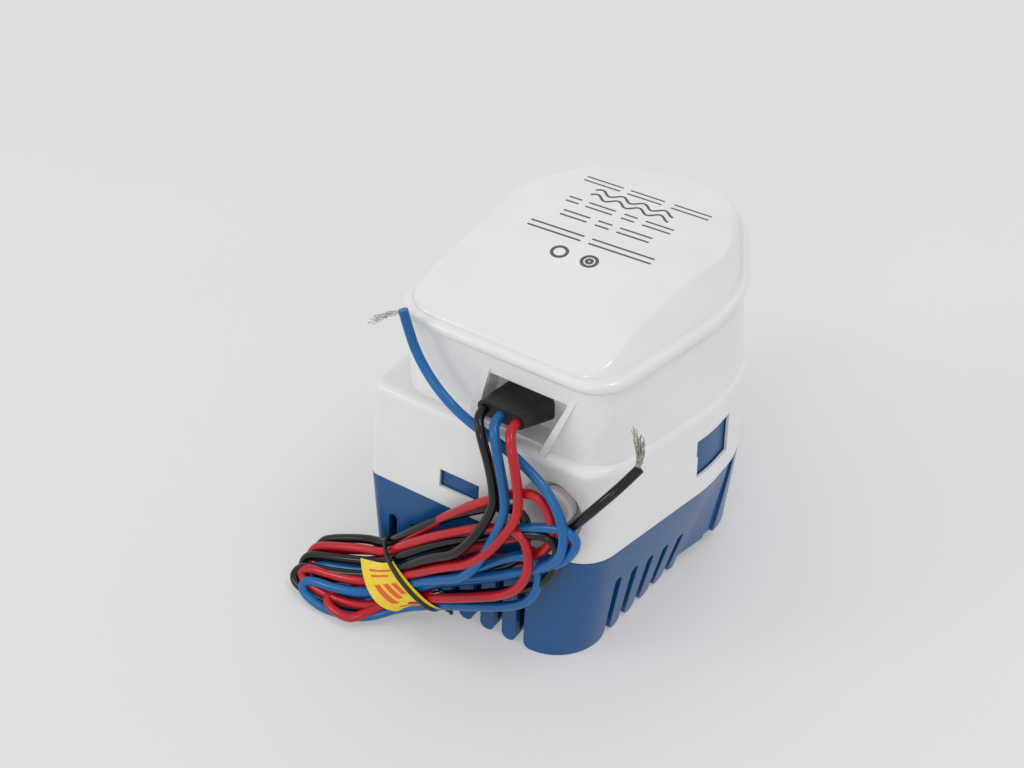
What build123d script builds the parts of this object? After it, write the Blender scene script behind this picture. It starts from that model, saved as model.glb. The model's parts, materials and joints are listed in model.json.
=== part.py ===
from build123d import *
import os
from math import cos, pi, radians, sin, tan

# Automatic submersible bilge pump with a strainer base, for a 29 mm hose.
# Millimetres, +Z up. The origin is on the floor, at the centre of the pump's box in plan.
# -Y is the end with the leads and the test knob, +Y is the end with the hose barb.

# Heights
SEAM_Z = 43.0          # top edge of the strainer base
SKIRT_Z0 = 43.2        # lower edge of the housing
SHELF_Z = 78.0         # top of the skirt, where the tower is set back
TOWER_Z0 = 70.0        # where the tower starts inside the skirt
TOWER_Z = 104.0        # top edge of the tower
RIM_Z0 = 104.8         # underside of the cap's rim
RIM_Z = 109.0          # top of the cap's rim
CROWN_Z = 118.5        # highest point of the cap
CROWN_R = 200.0        # radius of the crown, seen from the side
CROWN_Y = -8.0
DOME_TOP_Z = 122.0     # the dome's sides are drawn up to here, then cut by the crown

WALL = 2.5
SHELF_FILLET = 3.0
FIT = 0.05             # radial clearance of a shaft in its hole
GAP = 0.4              # gap between parts that lift away from each other

# Outlines, anticlockwise from the front left corner: (x, y, corner radius)
FOOT = [(-44.8, -78, 5), (33, -78, 17), (35.4, -21, 40), (41.3, 5, 16), (22, 37, 26), (-22, 37, 26),
        (-44.8, 2, 34)]
SEAM = [(-48.4, -75.2, 4), (37.5, -75.2, 13), (48, -20, 50), (47.5, 2, 38), (24, 40, 28), (-24, 40, 28),
        (-48.4, 2, 38)]
SHELF = [(-48.4, -71.5, 4), (38, -71.5, 13), (48, -20, 50), (47.5, 2, 38), (24, 40, 28), (-24, 40, 28),
         (-48.4, 2, 38)]
TOWER_LOW = [(-41.5, -68, 12), (37, -68, 13), (47.7, -20, 50), (47.2, 2, 38), (23.5, 40, 28), (-23, 40, 28),
             (-41.5, 1.5, 34)]
TOWER_TOP = [(-41, -66.5, 12), (35.5, -66.5, 14), (45, -19, 50), (44.4, 2, 38), (21.5, 41, 28),
             (-21.5, 41, 28), (-41, 1, 34)]
RIM = [(-43, -68.5, 13), (37, -68.5, 15), (46.6, -19, 50), (46, 2, 38), (22.5, 43, 30), (-22.5, 43, 30),
       (-43, 2, 36)]
DOME_LOW = [(-40.5, -66, 12), (34.5, -66, 13), (44, -19, 50), (43.4, 2, 38), (20.5, 41, 28),
            (-20.5, 41, 28), (-40.5, 1, 34)]
DOME_TOP = [(-37.5, -64.5, 10), (20.5, -64.5, 13), (30.5, -18, 50), (35.5, 4, 32), (19, 38.5, 26),
            (-19, 38.5, 26), (-37.5, 1, 32)]

# Motor, impeller and volute stand on one axis
MOTOR_X = -8.0
MOTOR_Y = -2.0
WELL_R = 23.5          # outside of the motor well
WELL_BORE_R = 21.0
WELL_FLOOR_Z = 42.0
WELL_FLOOR_T = 2.5
CAN_R = 18.5
CAN_Z0 = 47.0
CAN_Z1 = 97.0
SHAFT_R = 1.6
SHAFT_Z0 = 19.0
SHAFT_Z1 = 101.0
VOLUTE_R = 26.5
VOLUTE_BORE_R = 23.5
VOLUTE_Z0 = 14.0
IMPELLER_R = 19.0
VANE_COUNT = 5
SCREW_CIRCLE_R = 27.5
SCREW_ANGLES = (40, 175, 275)
POLE_COUNT = 5

# Discharge
BARB_X = -12.0
BARB_Z = 28.0
BARB_R = 14.5          # 29 mm hose
BARB_BORE_R = 10.5
BARB_Y0 = 34.0
BARB_Y1 = 77.5
DUCT_R = 13.0
DUCT_Y1 = 31.0

# Strainer base
SLOT_W = 3.2
SLOT_PITCH = 8.5
SLOT_FOOT_R = 2.4
FRONT_SLOT_Z = 28.0
FRONT_SLOT_X0 = -38.0
FRONT_SLOTS = 7
SIDE_SLOT_Y0 = -58.0
SIDE_SLOTS = 5
SIDE_SLOT_Z = 26.0
SIDE_SLOT_DROP = 1.5
SCREW_X = (-30.0, 20.0)
SCREW_Y = (-60.0, 12.0)
BASE_SCREW_R = 2.25
PLATE_Z0 = 1.0
PLATE_Z1 = 3.5
LIP_Z = 47.0
LIP_INSET = 3.5
LIP_T = 1.8

# Latch windows: lowest and highest y (or x), then z
RIGHT_WINDOW = (-26.5, -9.0, 51.0, 66.5)
LEFT_WINDOW = (-20.0, -5.0, 50.0, 56.6)
WINDOW_WALL = 1.0      # thickness of the wall around a window
TAB_T = 2.0
TAB_EDGE = 0.9         # how far a tab reaches past the sides of its window
TAB_GAP = 0.4          # gap beside and in front of a tab

# Test knob and float
KNOB_X = 22.0
KNOB_Z = 60.0
KNOB_R = 6.2
POCKET_R = 12.5
POCKET_Y = -79.0       # centre of the ball that the pocket is cut with
SPINDLE_R = 2.0
FLOAT_X = (2.5, 28.5)
FLOAT_Y = (-66.0, -41.0)
FLOAT_Z = (12.0, 28.0)
PIVOT_Y = -33.0
PIVOT_Z = 36.0
PIN_R = 1.5
SWITCH_X = 16.0
SWITCH_Y = -48.0

# Gland and leads
RECESS_Y = -60.0
GLAND_Y = -75.0
LEAD_R = 1.6
LEAD_X = (-1.6, 4.2, 10.0)
LEAD_Z = 91.0
NECK = (-2.5, 13.0, 84.5, 90.5)
INNER_ENDS = (-19.0, SWITCH_X, 3.0)

# Routes of the leads down to the hank, and of the ends that stand out of it
LEAD_ROUTES = {
    "lead_black": [(-1.6, -75, 91), (-1.6, -79, 91), (2.2, -82.8, 87.5), (5.4, -83.8, 80), (7.6, -84.2, 71),
                   (8.8, -85.6, 62)],
    "lead_blue": [(4.2, -75, 91), (4.2, -79, 91), (7.8, -83.3, 87.5), (10.2, -84.5, 80), (12.2, -85, 71),
                  (13.2, -86, 61.5)],
    "lead_red": [(10, -75, 90.6), (10, -79, 90.6), (13.6, -83, 87), (16, -84.5, 79.5), (17.4, -84.8, 71),
                 (17.2, -86, 61.5)],
}
TAIL_ROUTES = {
    "tail_blue": [(33.5, -83.8, 61), (30.5, -82.2, 69.5), (24, -80.4, 75.2), (15.8, -79, 79),
                  (6, -77.8, 82.2), (-4.4, -76.8, 84), (-13, -75.8, 86.8), (-21, -74.8, 92),
                  (-27.6, -73.8, 99.5), (-31, -73, 106.5), (-33.4, -72.5, 113.5)],
    "tail_black": [(28, -79.8, 56), (36, -79.4, 67), (42, -76.4, 75.6), (46, -71, 81), (47.6, -65, 83.4)],
}
STRAND_ROUTES = {
    "strands_blue": [(-33.4, -72.5, 113.5), (-45.5, -73.5, 108)],
    "strands_black": [(47.6, -65, 83.4), (46, -62, 94.5)],
}

# Hank: centre, half width vector and half thickness vector of its sections, from left to right
HANK = [
    ((-65, -91.5, 6.5), (1, 8, 4), (0.5, -2.5, 3)),
    ((-57, -92, 8), (-2, 9.5, 6), (0.5, -2.5, 4)),
    ((-41, -90, 10.6), (-5, 10.5, 8.6), (0.5, -4, 4)),
    ((-27.5, -84.8, 16), (-7, 3.5, 8), (-0.5, -5, 2)),
    ((-14, -84.6, 28), (-7, 2.5, 15), (-0.3, -5, 1)),
    ((2, -84.2, 39), (-4, 1.5, 19.5), (0, -5, 0.5)),
    ((20, -83.7, 51), (-2, 1, 22), (0.3, -4.5, 0.3)),
    ((33, -81.7, 56), (2, 1, 12), (0.3, -3.5, 0)),
]
TIE_ROWS = (2.93, 3.0, 3.07)
TAG_ROWS = (2.15, 2.5, 2.85)
TAG_EDGES = (0.45, -1.3)   # across the hank, in half widths


def save(shape, node):
    export_step(shape, f"parts/{node}.step")


def block(x0, x1, y0, y1, z0, z1):
    return Pos((x0 + x1) / 2, (y0 + y1) / 2, (z0 + z1) / 2) * Box(x1 - x0, y1 - y0, z1 - z0)


def post(x, y, z0, z1, radius):
    """Upright cylinder."""
    return Pos(x, y, (z0 + z1) / 2) * Cylinder(radius, z1 - z0)


def tube(x, y, z0, z1, outer, inner):
    return post(x, y, z0, z1, outer) - post(x, y, z0 - 1, z1 + 1, inner)


def rod_y(x, z, y0, y1, radius):
    """Cylinder along Y."""
    return Pos(x, (y0 + y1) / 2, z) * Rot(90, 0, 0) * Cylinder(radius, y1 - y0)


def rod_x(y, z, x0, x1, radius):
    """Cylinder along X."""
    return Pos((x0 + x1) / 2, y, z) * Rot(0, 90, 0) * Cylinder(radius, x1 - x0)


def on_motor_circle(radius, angle):
    return MOTOR_X + radius * cos(radians(angle)), MOTOR_Y + radius * sin(radians(angle))


def inset(corners, depth):
    """The same outline, moved inward by depth."""
    moved = []
    for i, (x, y, radius) in enumerate(corners):
        here = Vector(x, y)
        before = Vector(*corners[i - 1][:2])
        after = Vector(*corners[(i + 1) % len(corners)][:2])
        a = (here - before).normalized()
        b = (after - here).normalized()
        inward = Vector(-a.Y, a.X) + Vector(-b.Y, b.X)
        step = inward * (depth / (1 + a.dot(b)))
        moved.append((x + step.X, y + step.Y, max(radius - depth, 1.0)))
    return moved


def outline(corners, z, depth=0.0):
    """Flat face inside a rounded outline."""
    moved = inset(corners, depth)
    radii = [radius for _, _, radius in moved]
    wire = FilletPolyline(*[(x, y) for x, y, _ in moved], radius=radii, close=True)
    return Pos(0, 0, z) * make_face(wire)


def between(low, z0, high, z1, depth=0.0):
    """Solid with straight sides from one outline to another."""
    return loft([outline(low, z0, depth), outline(high, z1, depth)], ruled=True)


def prism(corners, z0, z1, depth=0.0):
    return extrude(outline(corners, z0, depth), z1 - z0)


# Strainer base

def slot_profile(height):
    """Inlet slot, round at the top, flared at the foot so that the fins end in rounded corners."""
    flare_w = SLOT_W + 2 * SLOT_FOOT_R
    slot = Pos(0, height / 2 - 1) * Rectangle(SLOT_W, height + 2)
    slot += Pos(0, height) * Circle(SLOT_W / 2)
    slot += Pos(0, SLOT_FOOT_R / 2 - 1) * Rectangle(flare_w, SLOT_FOOT_R + 2)
    for side in (-1, 1):
        slot -= Pos(side * flare_w / 2, SLOT_FOOT_R) * Circle(SLOT_FOOT_R)
    return slot


def front_slot(x):
    profile = Plane.XZ * slot_profile(FRONT_SLOT_Z)
    return Pos(x, -70.5, 0) * extrude(profile, 12)


def side_slot(y, height, x0, reach):
    profile = Plane.YZ * slot_profile(height)
    return Pos(x0, y, 0) * extrude(profile, reach)


def strainer_base():
    body = between(FOOT, 0, SEAM, SEAM_Z) - between(FOOT, 0, SEAM, SEAM_Z, WALL)
    body += prism(SEAM, SEAM_Z - 3, LIP_Z, LIP_INSET) - prism(SEAM, SEAM_Z - 4, LIP_Z + 1, LIP_INSET + LIP_T)
    body += prism(SEAM, SEAM_Z - 3, SEAM_Z, 1.0) - prism(SEAM, SEAM_Z - 4, SEAM_Z + 1, LIP_INSET + LIP_T)
    body += prism(FOOT, PLATE_Z0, PLATE_Z1, 1.2)
    for x in SCREW_X:
        for y in SCREW_Y:
            body += post(x, y, PLATE_Z0, PLATE_Z1 + 3, 5.5)
    for i in range(FRONT_SLOTS):
        body -= front_slot(FRONT_SLOT_X0 + SLOT_PITCH * i)
    for i in range(SIDE_SLOTS):
        height = SIDE_SLOT_Z - SIDE_SLOT_DROP * i
        body -= side_slot(SIDE_SLOT_Y0 + SLOT_PITCH * i, height, 30, 20)
        body -= side_slot(SIDE_SLOT_Y0 + SLOT_PITCH * i, height, -58, 18)
    # Raised lower edge behind the side slots, and the upright channel in front of the rear corner
    body -= block(33.2, 60, -19, 12, -1, 6)
    channel = block(30, 60, -6.5, -1.5, 0, SEAM_Z)
    body -= channel - between(FOOT, 0, SEAM, SEAM_Z, 1.0)
    for x in SCREW_X:
        for y in SCREW_Y:
            body -= post(x, y, -1, 12, BASE_SCREW_R)
    # Way for the hose barb, open at the top so that the housing lifts off
    body -= rod_y(BARB_X, BARB_Z, 20, 60, 17)
    body -= block(BARB_X - 17, BARB_X + 17, 20, 60, BARB_Z, 60)
    # Room in the lip for the wall behind the knob's pocket, and for the latch tabs
    pocket_wall = Pos(KNOB_X, POCKET_Y, KNOB_Z) * Sphere(POCKET_R + WALL + 2 * GAP)
    body -= pocket_wall & block(-60, 60, -90, 60, SEAM_Z, 60)
    margin = TAB_EDGE + TAB_GAP
    body -= block(38, 60, RIGHT_WINDOW[0] - margin, RIGHT_WINDOW[1] + margin, SEAM_Z, 60)
    body -= block(LEFT_WINDOW[0] - margin, LEFT_WINDOW[1] + margin, -80, -66, SEAM_Z, 60)
    return body


def skirt_layer(outer, inner):
    """Shell between two depths below the skirt's outer face."""
    return between(SEAM, SKIRT_Z0, SHELF, SHELF_Z, outer) - between(SEAM, SKIRT_Z0, SHELF, SHELF_Z, inner)


def latch_tab_right():
    """Springy tab that rises from the lip, behind the window in the housing's side."""
    y0, y1 = RIGHT_WINDOW[0] - TAB_EDGE, RIGHT_WINDOW[1] + TAB_EDGE
    wall = skirt_layer(WINDOW_WALL + TAB_GAP, WINDOW_WALL + TAB_GAP + TAB_T)
    tab = wall & block(30, 60, y0, y1, SEAM_Z + 0.3, RIGHT_WINDOW[3] + 2)
    return tab + block(41.5, 45.4, y0 + 3, y1 - 3, RIGHT_WINDOW[3] - 1, RIGHT_WINDOW[3] + 1.5)


def latch_tab_left():
    x0, x1 = LEFT_WINDOW[0] - TAB_EDGE, LEFT_WINDOW[1] + TAB_EDGE
    wall = skirt_layer(WINDOW_WALL + TAB_GAP, WINDOW_WALL + TAB_GAP + TAB_T)
    return wall & block(x0, x1, -80, -60, SEAM_Z + 0.3, LEFT_WINDOW[3] + 2)


# Pump housing

def recess(depth_y, grow):
    """Four-sided space in front of the gland, which leans to the right."""
    pts = [(-9 - grow, 79 - grow), (15.5 + grow, 79 - grow), (23 + grow, 97.8 + grow),
           (-5.2 - grow, 97.8 + grow)]
    face = make_face(Polyline(*pts, close=True))
    return Pos(0, depth_y, 0) * extrude(Plane.XZ * face, 30)


def cheek(x_top, x_foot, side):
    """Rib beside the gland recess, which leans out from under the rim to the shelf's edge."""
    top = [(x_top, -66, 103.5), (x_top, -60, 103.5), (x_foot, -60, 76), (x_foot, -71.2, 76)]
    t = 2.6 * side
    face_a = make_face(Polyline(*top, close=True))
    far = [(x + t, y, z) for x, y, z in top]
    face_b = make_face(Polyline(*far, close=True))
    return loft([face_a, face_b], ruled=True)


def pump_housing():
    skirt = between(SEAM, SKIRT_Z0, SHELF, SHELF_Z)
    top_edges = skirt.faces().sort_by(Axis.Z)[-1].edges()
    skirt = fillet(top_edges.filter_by(lambda edge: edge.center().X < 30), SHELF_FILLET)
    body = skirt + between(TOWER_LOW, TOWER_Z0, TOWER_TOP, TOWER_Z)
    body += cheek(-4.6, -9.2, -1)
    body += cheek(24.6, 14.6, 1)
    body -= recess(RECESS_Y, 0)
    pocket = Pos(KNOB_X, POCKET_Y, KNOB_Z) * Sphere(POCKET_R)
    body -= pocket
    # Wet space, open below, with the motor well and the pocket's wall left standing
    wet = between(SEAM, SKIRT_Z0, SHELF, SHELF_Z, WALL)
    wet &= block(-60, 60, -90, 60, 30, SHELF_Z - WALL)
    wet -= post(MOTOR_X, MOTOR_Y, WELL_FLOOR_Z, SHELF_Z, WELL_R)
    wet -= Pos(KNOB_X, POCKET_Y, KNOB_Z) * Sphere(POCKET_R + WALL)
    wet -= rod_y(KNOB_X, KNOB_Z, -70, -61, 5.0)
    wet -= post(SWITCH_X, SWITCH_Y, 54, SHELF_Z, 5.0)
    for x in (FLOAT_X[0] - 2.3, FLOAT_X[1] + 0.3):
        wet -= block(x, x + 2, PIVOT_Y - 4, PIVOT_Y + 4, 40, SHELF_Z)
    for angle in SCREW_ANGLES:
        x, y = on_motor_circle(SCREW_CIRCLE_R, angle)
        wet -= post(x, y, WELL_FLOOR_Z, 62, 4.2)
    body -= wet
    body += post(MOTOR_X, MOTOR_Y, WELL_FLOOR_Z, SKIRT_Z0 + 2, WELL_R)
    for angle in SCREW_ANGLES:
        x, y = on_motor_circle(SCREW_CIRCLE_R, angle)
        body += post(x, y, WELL_FLOOR_Z, 60, 4.2)
        body -= post(x, y, WELL_FLOOR_Z - 1, 56, 1.5)
    for x in (FLOAT_X[0] - 2.3, FLOAT_X[1] + 0.3):
        body += block(x, x + 2, PIVOT_Y - 4, PIVOT_Y + 4, PIVOT_Z - 4, 50)
    body -= rod_x(PIVOT_Y, PIVOT_Z, FLOAT_X[0] - 4, FLOAT_X[1] + 4, PIN_R + 0.02)
    # Dry space, open above and closed by the cap
    dry = between(TOWER_LOW, TOWER_Z0, TOWER_TOP, TOWER_Z, WALL) & block(-60, 60, -90, 60, SHELF_Z, 120)
    dry -= recess(RECESS_Y + WALL, 2.2)
    body -= dry
    body -= post(MOTOR_X, MOTOR_Y, WELL_FLOOR_Z + WELL_FLOOR_T, SHELF_Z + 1, WELL_BORE_R)
    body -= post(MOTOR_X, MOTOR_Y, WELL_FLOOR_Z - 1, WELL_FLOOR_Z + 5, 6.05)
    body -= post(SWITCH_X, SWITCH_Y, 56, SHELF_Z + 1, 3.2)
    # Latch windows, each with a thin wall around it and a way for the tab from below
    margin = TAB_EDGE + TAB_GAP
    layer = skirt_layer(WINDOW_WALL, WALL + 1)
    y0, y1, z0, z1 = RIGHT_WINDOW
    body -= block(40, 60, y0, y1, z0, z1) + block(40, 60, y0 - 0.6, y0 + 1, z0 + 9, z1)
    body -= layer & block(40, 60, y0 - margin, y1 + margin, SKIRT_Z0, z1 + 2.5)
    x0, x1, z0, z1 = LEFT_WINDOW
    body -= block(x0, x1, -90, -68, z0, z1)
    body -= layer & block(x0 - margin, x1 + margin, -80, -66, SKIRT_Z0, z1 + 2.5)
    # The knob's spindle hole and its o-ring seat, the gland's slot
    body -= rod_y(KNOB_X, KNOB_Z, -72, -58, SPINDLE_R + FIT)
    body -= rod_y(KNOB_X, KNOB_Z, -62.8, -58, 3.4)
    x0, x1, z0, z1 = NECK
    body -= block(x0 - 0.1, x1 + 0.1, RECESS_Y - 1, RECESS_Y + WALL + 1, z0 - 0.1, z1 + 0.1)
    return body


def cap_gasket():
    return prism(TOWER_TOP, TOWER_Z, RIM_Z0, 0.6) - prism(TOWER_TOP, TOWER_Z - 1, RIM_Z0 + 1, 2.1)


def dome(depth):
    """Crowned dome, steep on the left and with a wide slope on the right, moved inward by depth."""
    sides = between(DOME_LOW, RIM_Z - 1, DOME_TOP, DOME_TOP_Z, depth)
    crown = rod_x(CROWN_Y, CROWN_Z - CROWN_R, -70, 70, CROWN_R - depth)
    return sides & crown


def top_cap():
    shell = dome(0)
    top = shell.faces().sort_by(Axis.Z)[-1]
    shell = fillet(top.edges(), 2.4)
    rim = prism(RIM, RIM_Z0, RIM_Z)
    rim = fillet(rim.faces().sort_by(Axis.Z)[0].edges() + rim.faces().sort_by(Axis.Z)[-1].edges(), 1.9)
    cap = rim + shell
    cap -= dome(WALL)
    cap -= prism(DOME_LOW, RIM_Z0 - 1, RIM_Z - 0.5, WALL)
    return cap


# Motor

def motor_can():
    can = tube(MOTOR_X, MOTOR_Y, CAN_Z0, CAN_Z1, CAN_R, CAN_R - 1.4)
    can += post(MOTOR_X, MOTOR_Y, CAN_Z0, CAN_Z0 + 1.6, CAN_R)
    return can - post(MOTOR_X, MOTOR_Y, CAN_Z0 - 1, CAN_Z0 + 3, 4.02)


def motor_end_cap():
    lid = post(MOTOR_X, MOTOR_Y, CAN_Z1, CAN_Z1 + 2.4, CAN_R)
    lid += post(MOTOR_X, MOTOR_Y, CAN_Z1, CAN_Z1 + 4, 6.5)
    lid -= post(MOTOR_X, MOTOR_Y, CAN_Z1 - 1, CAN_Z1 + 6, 4.02)
    for side in (-1, 1):
        lid += block(MOTOR_X + side * 11 - 2, MOTOR_X + side * 11 + 2, MOTOR_Y - 0.4, MOTOR_Y + 0.4,
                     CAN_Z1 + 2, CAN_Z1 + 6)
    return lid


def motor_ring():
    """Elastic ring that holds the can in its well."""
    return tube(MOTOR_X, MOTOR_Y, 62, 68, WELL_BORE_R - FIT, CAN_R + FIT)


def field_magnets():
    """Two ferrite arcs inside the can."""
    ring = tube(MOTOR_X, MOTOR_Y, 52, 87, CAN_R - 1.45, 13.6)
    halves = []
    for side in (-1, 1):
        x0, x1 = sorted((MOTOR_X, MOTOR_X + side * 20))
        keep = block(x0, x1, MOTOR_Y - 14, MOTOR_Y + 14, 50, 90)
        keep -= block(MOTOR_X - 8, MOTOR_X + 8, MOTOR_Y - 20, MOTOR_Y + 20, 49, 91)
        halves.append(ring & keep)
    return Compound(halves)


def armature_core():
    core = post(MOTOR_X, MOTOR_Y, 56, 84, 12.9)
    for i in range(POLE_COUNT):
        x, y = on_motor_circle(9.5, 360 / POLE_COUNT * i)
        core -= post(x, y, 55, 85, 3.2)
        x, y = on_motor_circle(12, 360 / POLE_COUNT * i)
        core -= post(x, y, 55, 85, 1.2)
    return core - post(MOTOR_X, MOTOR_Y, 55, 85, SHAFT_R)


def armature_windings():
    """Five coils: a leg in each slot, joined by end turns."""
    coils = tube(MOTOR_X, MOTOR_Y, 52, 55.9, 11.4, 3.6) + tube(MOTOR_X, MOTOR_Y, 84.1, 88, 11.4, 3.6)
    for i in range(POLE_COUNT):
        x, y = on_motor_circle(9.3, 360 / POLE_COUNT * i)
        coils += post(x, y, 53, 87, 2.8)
    return coils


def commutator():
    ring = tube(MOTOR_X, MOTOR_Y, 89.5, 95.5, 5.0, SHAFT_R)
    for i in range(POLE_COUNT):
        angle = 360 / POLE_COUNT * (i + 0.5)
        x, y = on_motor_circle(5.0, angle)
        ring -= Pos(x, y, 92.5) * Rot(0, 0, angle) * Box(1.4, 0.5, 8)
    return ring


def shaft():
    return post(MOTOR_X, MOTOR_Y, SHAFT_Z0, SHAFT_Z1, SHAFT_R)


def brush_holder():
    holder = tube(MOTOR_X, MOTOR_Y, 89.3, 96.6, CAN_R - 1.5, 7.0)
    return holder - block(MOTOR_X - 2.3, MOTOR_X + 2.3, MOTOR_Y - 15.5, MOTOR_Y + 15.5, 90, 95.5)


def brushes():
    pair = []
    for side in (-1, 1):
        near, far = sorted((side * 4.4, side * 11.0))
        block_at = block(MOTOR_X - 2, MOTOR_X + 2, MOTOR_Y + near, MOTOR_Y + far, 90.4, 95)
        pair.append(block_at - post(MOTOR_X, MOTOR_Y, 89, 97, 5.0 + FIT))
    return Compound(pair)


def brush_springs():
    """Two rows of spring turns behind the brushes."""
    turns = []
    for side in (-1, 1):
        for i in range(5):
            y = MOTOR_Y + side * (11.4 + 0.8 * i)
            turns.append(Pos(MOTOR_X, y, 92.7) * Rot(90, 0, 0) * Torus(1.5, 0.28))
    return Compound(turns)


def bush(z0, z1):
    return tube(MOTOR_X, MOTOR_Y, z0, z1, 4.0, SHAFT_R + FIT)


def shaft_seal():
    seal = tube(MOTOR_X, MOTOR_Y, WELL_FLOOR_Z, WELL_FLOOR_Z + 3.4, 6.0, SHAFT_R + FIT)
    return seal - tube(MOTOR_X, MOTOR_Y, WELL_FLOOR_Z - 1, WELL_FLOOR_Z + 1.6, 4.6, 2.6)


# Impeller and volute

def vane(angle):
    """One back-swept vane, an arc from the hub to the rim."""
    arc = tube(0, 10.2, 22, 31.6, 10.9, 9.3)
    arc &= block(0.5, 20, -2, 18.6, 21, 33)
    return Pos(MOTOR_X, MOTOR_Y, 0) * Rot(0, 0, angle) * Pos(0, -0.4, 0) * arc


def impeller():
    wheel = post(MOTOR_X, MOTOR_Y, 21.2, 34, 5.0) + post(MOTOR_X, MOTOR_Y, 31.5, 34, IMPELLER_R)
    for i in range(VANE_COUNT):
        wheel += vane(360 / VANE_COUNT * i)
    return wheel - post(MOTOR_X, MOTOR_Y, 20, 35, SHAFT_R)


def impeller_nut():
    nut = Pos(MOTOR_X, MOTOR_Y, 19.2) * extrude(RegularPolygon(2.9, 6), 1.9)
    return nut - post(MOTOR_X, MOTOR_Y, 18, 22, SHAFT_R)


def volute_cover():
    top = WELL_FLOOR_Z - 0.2
    cover = post(MOTOR_X, MOTOR_Y, VOLUTE_Z0, top, VOLUTE_R)
    cover += rod_y(BARB_X, BARB_Z, 0, DUCT_Y1, DUCT_R)
    for angle in SCREW_ANGLES:
        x, y = on_motor_circle(SCREW_CIRCLE_R, angle)
        cover += post(x, y, 36, top, 4.2)
    cover -= post(MOTOR_X, MOTOR_Y, VOLUTE_Z0 + 2.5, top + 1, VOLUTE_BORE_R)
    cover -= post(MOTOR_X, MOTOR_Y, VOLUTE_Z0 - 1, VOLUTE_Z0 + 4, 9.0)
    cover -= rod_y(BARB_X, BARB_Z, 0, DUCT_Y1 + 1, BARB_BORE_R)
    cover -= tube(MOTOR_X, MOTOR_Y, top - 1.2, top + 1, 25.9, 24.5)
    for angle in SCREW_ANGLES:
        x, y = on_motor_circle(SCREW_CIRCLE_R, angle)
        cover -= post(x, y, 30, 36, 3.1)
        cover -= post(x, y, 35, top + 1, 1.6)
    return cover


def volute_o_ring():
    return Pos(MOTOR_X, MOTOR_Y, WELL_FLOOR_Z - 0.75) * Torus(25.2, 0.62)


def volute_screws():
    screws = []
    for angle in SCREW_ANGLES:
        x, y = on_motor_circle(SCREW_CIRCLE_R, angle)
        screw = post(x, y, 33.4, 54, 1.4) + post(x, y, 33.4, 36, 2.8)
        screw -= Pos(x, y, 33.6) * Box(4.4, 0.7, 1.2)
        screw -= Pos(x, y, 33.6) * Box(0.7, 4.4, 1.2)
        screws.append(screw)
    return Compound(screws)


def discharge_barb():
    """Spigot in the volute's duct, a flange, and the barbed stub that the hose is pushed over."""
    barb = rod_y(BARB_X, BARB_Z, 23, DUCT_Y1, BARB_BORE_R - FIT)
    barb += rod_y(BARB_X, BARB_Z, DUCT_Y1, BARB_Y0, 16.0)
    barb += rod_y(BARB_X, BARB_Z, BARB_Y0, BARB_Y1, BARB_R)
    for i in range(3):
        crest = BARB_Y0 + 17.5 + 9 * i
        groove = rod_y(BARB_X, BARB_Z, crest, crest + 6.5, BARB_R + 1)
        taper = Pos(BARB_X, crest + 3.25, BARB_Z) * Rot(-90, 0, 0) * Cone(BARB_R - 1.3, BARB_R, 6.5)
        barb -= groove - taper
    end = barb.edges().filter_by(GeomType.CIRCLE).sort_by(Axis.Y)[-1]
    barb = chamfer(end, 1.0)
    return barb - rod_y(BARB_X, BARB_Z, 20, BARB_Y1 + 1, BARB_BORE_R - 2.2)


def barb_o_ring():
    return Pos(BARB_X, BARB_Y0 - 2.0, BARB_Z) * Rot(90, 0, 0) * Torus(16.4, 0.35)


# Float switch and test knob

def float_body():
    x0, x1 = FLOAT_X
    y0, y1 = FLOAT_Y
    z0, z1 = FLOAT_Z
    shell = fillet(block(x0 + 1, x1 - 1, y0, y1, z0, z1).edges(), 3.0)
    for x in (x0 + 1.8, x1 - 4.8):
        arm = block(x, x + 3, y1 - 8, PIVOT_Y + 3, z1 - 6, z1 - 1)
        arm += block(x, x + 3, PIVOT_Y - 3, PIVOT_Y + 3, z1 - 6, PIVOT_Z)
        arm += rod_x(PIVOT_Y, PIVOT_Z, x, x + 3, 3.0)
        shell += arm
    shell -= rod_x(PIVOT_Y, PIVOT_Z, x0 - 1, x1 + 1, PIN_R + 0.06)
    return shell - post(SWITCH_X, SWITCH_Y - 4, z1 - 3, z1 + 1, 3.05)


def float_magnet():
    return post(SWITCH_X, SWITCH_Y - 4, FLOAT_Z[1] - 3, FLOAT_Z[1] - 0.3, 3.0)


def float_pin():
    return rod_x(PIVOT_Y, PIVOT_Z, FLOAT_X[0] - 2.6, FLOAT_X[1] + 2.6, PIN_R)


def reed_switch():
    return post(SWITCH_X, SWITCH_Y, 57, 76, 2.8)


def test_knob():
    """Round knob with a grip bar across its face, on a spindle through the pocket's wall."""
    knob = rod_y(KNOB_X, KNOB_Z, -72.2, -68.6, KNOB_R)
    rim = knob.edges().filter_by(GeomType.CIRCLE).sort_by(Axis.Y)[0]
    knob = fillet(rim, 1.4)
    grip = block(KNOB_X - 1.2, KNOB_X + 1.2, -74, -70, KNOB_Z - 5.6, KNOB_Z + 5.6)
    knob += rod_y(KNOB_X, KNOB_Z, -73.4, -71, KNOB_R) & grip
    return knob + rod_y(KNOB_X, KNOB_Z, -69, -56.5, SPINDLE_R)


def knob_o_ring():
    return rod_y(KNOB_X, KNOB_Z, -62.7, -61.2, 3.35) - rod_y(KNOB_X, KNOB_Z, -64, -60, SPINDLE_R + FIT)


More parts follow.
